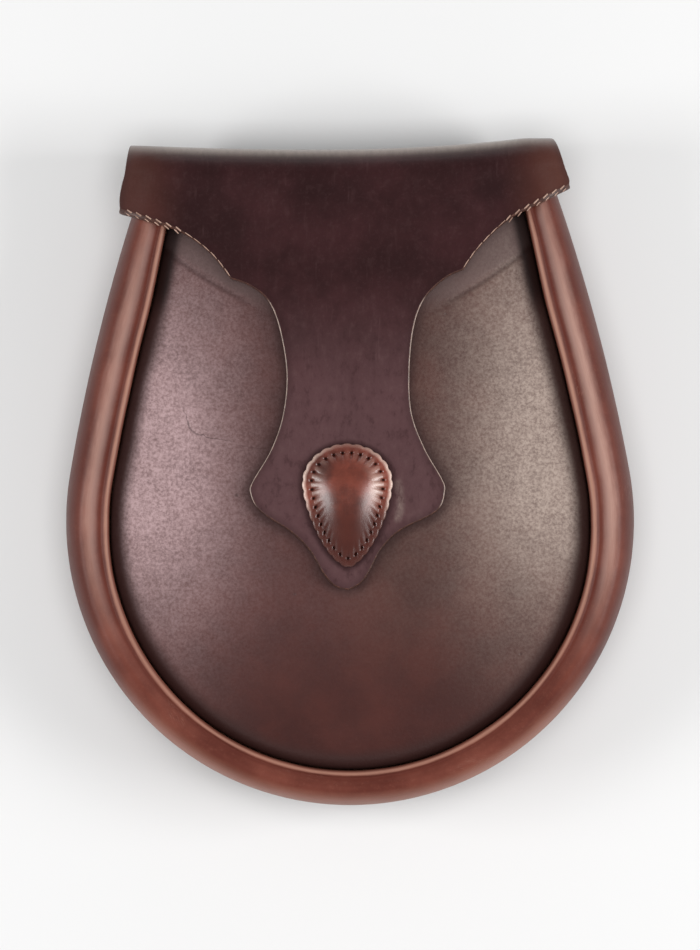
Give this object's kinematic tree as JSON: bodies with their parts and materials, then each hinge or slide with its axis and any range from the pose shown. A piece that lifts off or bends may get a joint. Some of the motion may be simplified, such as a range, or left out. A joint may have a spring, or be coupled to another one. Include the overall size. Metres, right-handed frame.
{
  "type": "sporran pouch",
  "caption": "Rounded leather pouch with a rolled rim, a domed front, and a flap whose tongue carries a padded teardrop; strap loops on its back.",
  "frame": {"origin": "middle of the whole outline, on the surface that the back lies on", "axes": "+Z out of the front, +Y towards the fold of the flap, +X to the right as seen from the front"},
  "size_m": [0.1698, 0.1988, 0.0482],
  "materials": {
    "rim_leather": "waxed brown, satin",
    "panel_leather": "waxed dark brown, satin",
    "flap_leather": "waxed blackish brown, satin",
    "back_leather": "plain brown, matt",
    "teardrop_leather": "polished chestnut",
    "stud_metal": "antique brass"
  },
  "bodies": {
    "root": {"gusset": "rim_leather", "front_panel": "panel_leather", "back_panel": "back_leather", "flap": "flap_leather", "teardrop": "teardrop_leather", "strap_loop_left": "back_leather", "strap_loop_right": "back_leather", "press_stud": "stud_metal"}
  },
  "joints": []
}
